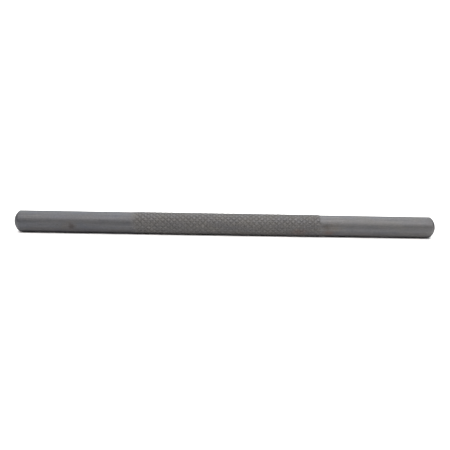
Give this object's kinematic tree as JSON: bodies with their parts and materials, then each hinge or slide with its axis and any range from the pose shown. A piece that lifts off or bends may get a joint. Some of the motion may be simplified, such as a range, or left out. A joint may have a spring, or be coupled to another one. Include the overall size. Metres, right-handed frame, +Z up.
{
  "type": "center punch",
  "caption": "Slim round steel punch bar with a diamond-knurled grip in the middle, plain shanks and a domed face on each end.",
  "frame": {"origin": "middle of the bar, on its axis", "axes": "+X along the bar's axis, +Z up when the bar lies down"},
  "size_m": [0.2, 0.0104, 0.0104],
  "materials": {
    "tool_steel": "dark ground steel, satin"
  },
  "bodies": {
    "root": {"punch_bar": "tool_steel"}
  },
  "joints": []
}
